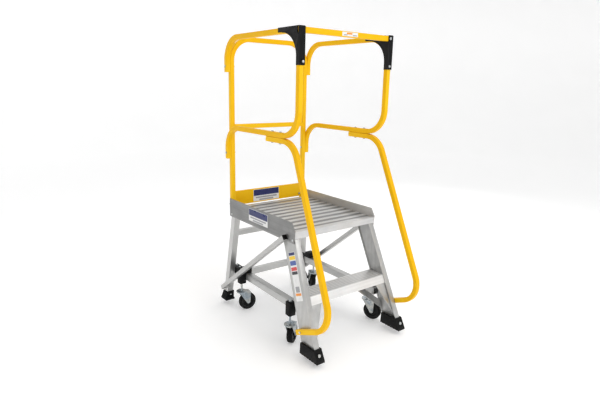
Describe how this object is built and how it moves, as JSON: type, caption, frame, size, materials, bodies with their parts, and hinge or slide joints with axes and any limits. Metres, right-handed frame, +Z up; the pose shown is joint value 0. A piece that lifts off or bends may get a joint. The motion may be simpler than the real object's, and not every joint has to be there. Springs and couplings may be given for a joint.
{
  "type": "rolling warehouse ladder",
  "caption": "Mobile order-picking ladder: aluminium step frame with a ribbed platform, yellow guard rails, a lift-up gate bar and sprung castors.",
  "frame": {"origin": "on the floor that the castor wheels stand on, under the middle of the ladder's bounding box", "axes": "+Z up, +Y away from the climber, +X to the climber's right"},
  "size_m": [0.6374, 0.9705, 1.526],
  "materials": {
    "mill_aluminium": "mill-finish extrusion",
    "deck_aluminium": "bright ribbed extrusion",
    "yellow_powder_coat": "satin powder coat",
    "black_plastic": "moulded, fine grain",
    "black_rubber": "moulded, matt",
    "castor_tyre": "matt rubber",
    "castor_core": "moulded nylon",
    "zinc_plate": "zinc plated",
    "label_film": "printed vinyl, blank blocks"
  },
  "bodies": {
    "ladder_frame": {"brace_plugs": "black_plastic", "castor_housing_front_left": "black_plastic", "castor_housing_front_right": "black_plastic", "castor_housing_rear_left": "black_plastic", "castor_housing_rear_right": "black_plastic", "castor_spring_front_left": "zinc_plate", "castor_spring_front_right": "zinc_plate", "castor_spring_rear_left": "zinc_plate", "castor_spring_rear_right": "zinc_plate", "corner_bracket_left": "black_plastic", "corner_bracket_right": "black_plastic", "deck_nosing": "deck_aluminium", "deck_planks": "deck_aluminium", "diagonal_brace_left": "mill_aluminium", "diagonal_brace_right": "mill_aluminium", "foot_bolts": "zinc_plate", "frame_rivets": "zinc_plate", "front_feet": "black_rubber", "front_stile_left": "mill_aluminium", "front_stile_right": "mill_aluminium", "gate_pivot_pin": "zinc_plate", "guard_bolts": "zinc_plate", "handrail_left": "yellow_powder_coat", "handrail_right": "yellow_powder_coat", "kick_board": "yellow_powder_coat", "knee_braces": "mill_aluminium", "label_plates": "label_film", "rail_end_sleeves": "black_plastic", "rear_cross_rail_lower": "mill_aluminium", "rear_cross_rail_upper": "mill_aluminium", "rear_feet": "black_rubber", "rear_guard_frame": "yellow_powder_coat", "rear_knee_bar": "yellow_powder_coat", "rear_leg_left": "mill_aluminium", "rear_leg_right": "mill_aluminium", "side_loop_left": "yellow_powder_coat", "side_loop_right": "yellow_powder_coat", "side_panel_left": "mill_aluminium", "side_panel_right": "mill_aluminium", "side_rail_left": "mill_aluminium", "side_rail_right": "mill_aluminium", "step_gussets": "mill_aluminium", "step_tread": "mill_aluminium"},
    "gate": {"gate_bar": "yellow_powder_coat"},
    "castor_stem_front_left": {"castor_stem_front_left": "zinc_plate"},
    "castor_fork_front_left": {"castor_fork_front_left": "zinc_plate"},
    "castor_wheel_front_left": {"castor_tyre_front_left": "castor_tyre", "castor_core_front_left": "castor_core"},
    "castor_stem_front_right": {"castor_stem_front_right": "zinc_plate"},
    "castor_fork_front_right": {"castor_fork_front_right": "zinc_plate"},
    "castor_wheel_front_right": {"castor_tyre_front_right": "castor_tyre", "castor_core_front_right": "castor_core"},
    "castor_stem_rear_left": {"castor_stem_rear_left": "zinc_plate"},
    "castor_fork_rear_left": {"castor_fork_rear_left": "zinc_plate"},
    "castor_wheel_rear_left": {"castor_tyre_rear_left": "castor_tyre", "castor_core_rear_left": "castor_core"},
    "castor_stem_rear_right": {"castor_stem_rear_right": "zinc_plate"},
    "castor_fork_rear_right": {"castor_fork_rear_right": "zinc_plate"},
    "castor_wheel_rear_right": {"castor_tyre_rear_right": "castor_tyre", "castor_core_rear_right": "castor_core"}
  },
  "joints": [
    {"name": "gate_lift", "type": "hinge", "parent": "ladder_frame", "child": "gate", "pos_m": [0.268, -0.204, 1.509], "axis": [0, 1, 0], "range_deg": [0, 100]},
    {"name": "castor_retract_front_left", "type": "slide", "parent": "ladder_frame", "child": "castor_stem_front_left", "axis": [0, 0, 1], "range_m": [0, 0.025], "stiffness_N_per_m": 1500, "springref_m": -0.1, "deforming": ["castor_spring_front_left"]},
    {"name": "castor_swivel_front_left", "type": "hinge", "parent": "castor_stem_front_left", "child": "castor_fork_front_left", "pos_m": [-0.27, -0.16, 0.1115], "axis": [0, 0, 1], "continuous": true},
    {"name": "wheel_spin_front_left", "type": "hinge", "parent": "castor_fork_front_left", "child": "castor_wheel_front_left", "pos_m": [-0.24174, -0.14021, 0.05], "axis": [-0.5736, 0.8192, 0], "continuous": true},
    {"name": "castor_retract_front_right", "type": "slide", "parent": "ladder_frame", "child": "castor_stem_front_right", "axis": [0, 0, 1], "range_m": [0, 0.025], "stiffness_N_per_m": 1500, "springref_m": -0.1, "deforming": ["castor_spring_front_right"]},
    {"name": "castor_swivel_front_right", "type": "hinge", "parent": "castor_stem_front_right", "child": "castor_fork_front_right", "pos_m": [0.27, -0.16, 0.1115], "axis": [0, 0, 1], "continuous": true},
    {"name": "wheel_spin_front_right", "type": "hinge", "parent": "castor_fork_front_right", "child": "castor_wheel_front_right", "pos_m": [0.28348, -0.19176, 0.05], "axis": [0.9205, 0.3907, 0], "continuous": true},
    {"name": "castor_retract_rear_left", "type": "slide", "parent": "ladder_frame", "child": "castor_stem_rear_left", "axis": [0, 0, 1], "range_m": [0, 0.025], "stiffness_N_per_m": 1500, "springref_m": -0.1, "deforming": ["castor_spring_rear_left"]},
    {"name": "castor_swivel_rear_left", "type": "hinge", "parent": "castor_stem_rear_left", "child": "castor_fork_rear_left", "pos_m": [-0.265, 0.321, 0.1115], "axis": [0, 0, 1], "continuous": true},
    {"name": "wheel_spin_rear_left", "type": "hinge", "parent": "castor_fork_rear_left", "child": "castor_wheel_rear_left", "pos_m": [-0.23076, 0.3168, 0.05], "axis": [0.1219, 0.9925, 0], "continuous": true},
    {"name": "castor_retract_rear_right", "type": "slide", "parent": "ladder_frame", "child": "castor_stem_rear_right", "axis": [0, 0, 1], "range_m": [0, 0.025], "stiffness_N_per_m": 1500, "springref_m": -0.1, "deforming": ["castor_spring_rear_right"]},
    {"name": "castor_swivel_rear_right", "type": "hinge", "parent": "castor_stem_rear_right", "child": "castor_fork_rear_right", "pos_m": [0.265, 0.321, 0.1115], "axis": [0, 0, 1], "continuous": true},
    {"name": "wheel_spin_rear_right", "type": "hinge", "parent": "castor_fork_rear_right", "child": "castor_wheel_rear_right", "pos_m": [0.27848, 0.35276, 0.05], "axis": [-0.9205, 0.3907, 0], "continuous": true}
  ]
}
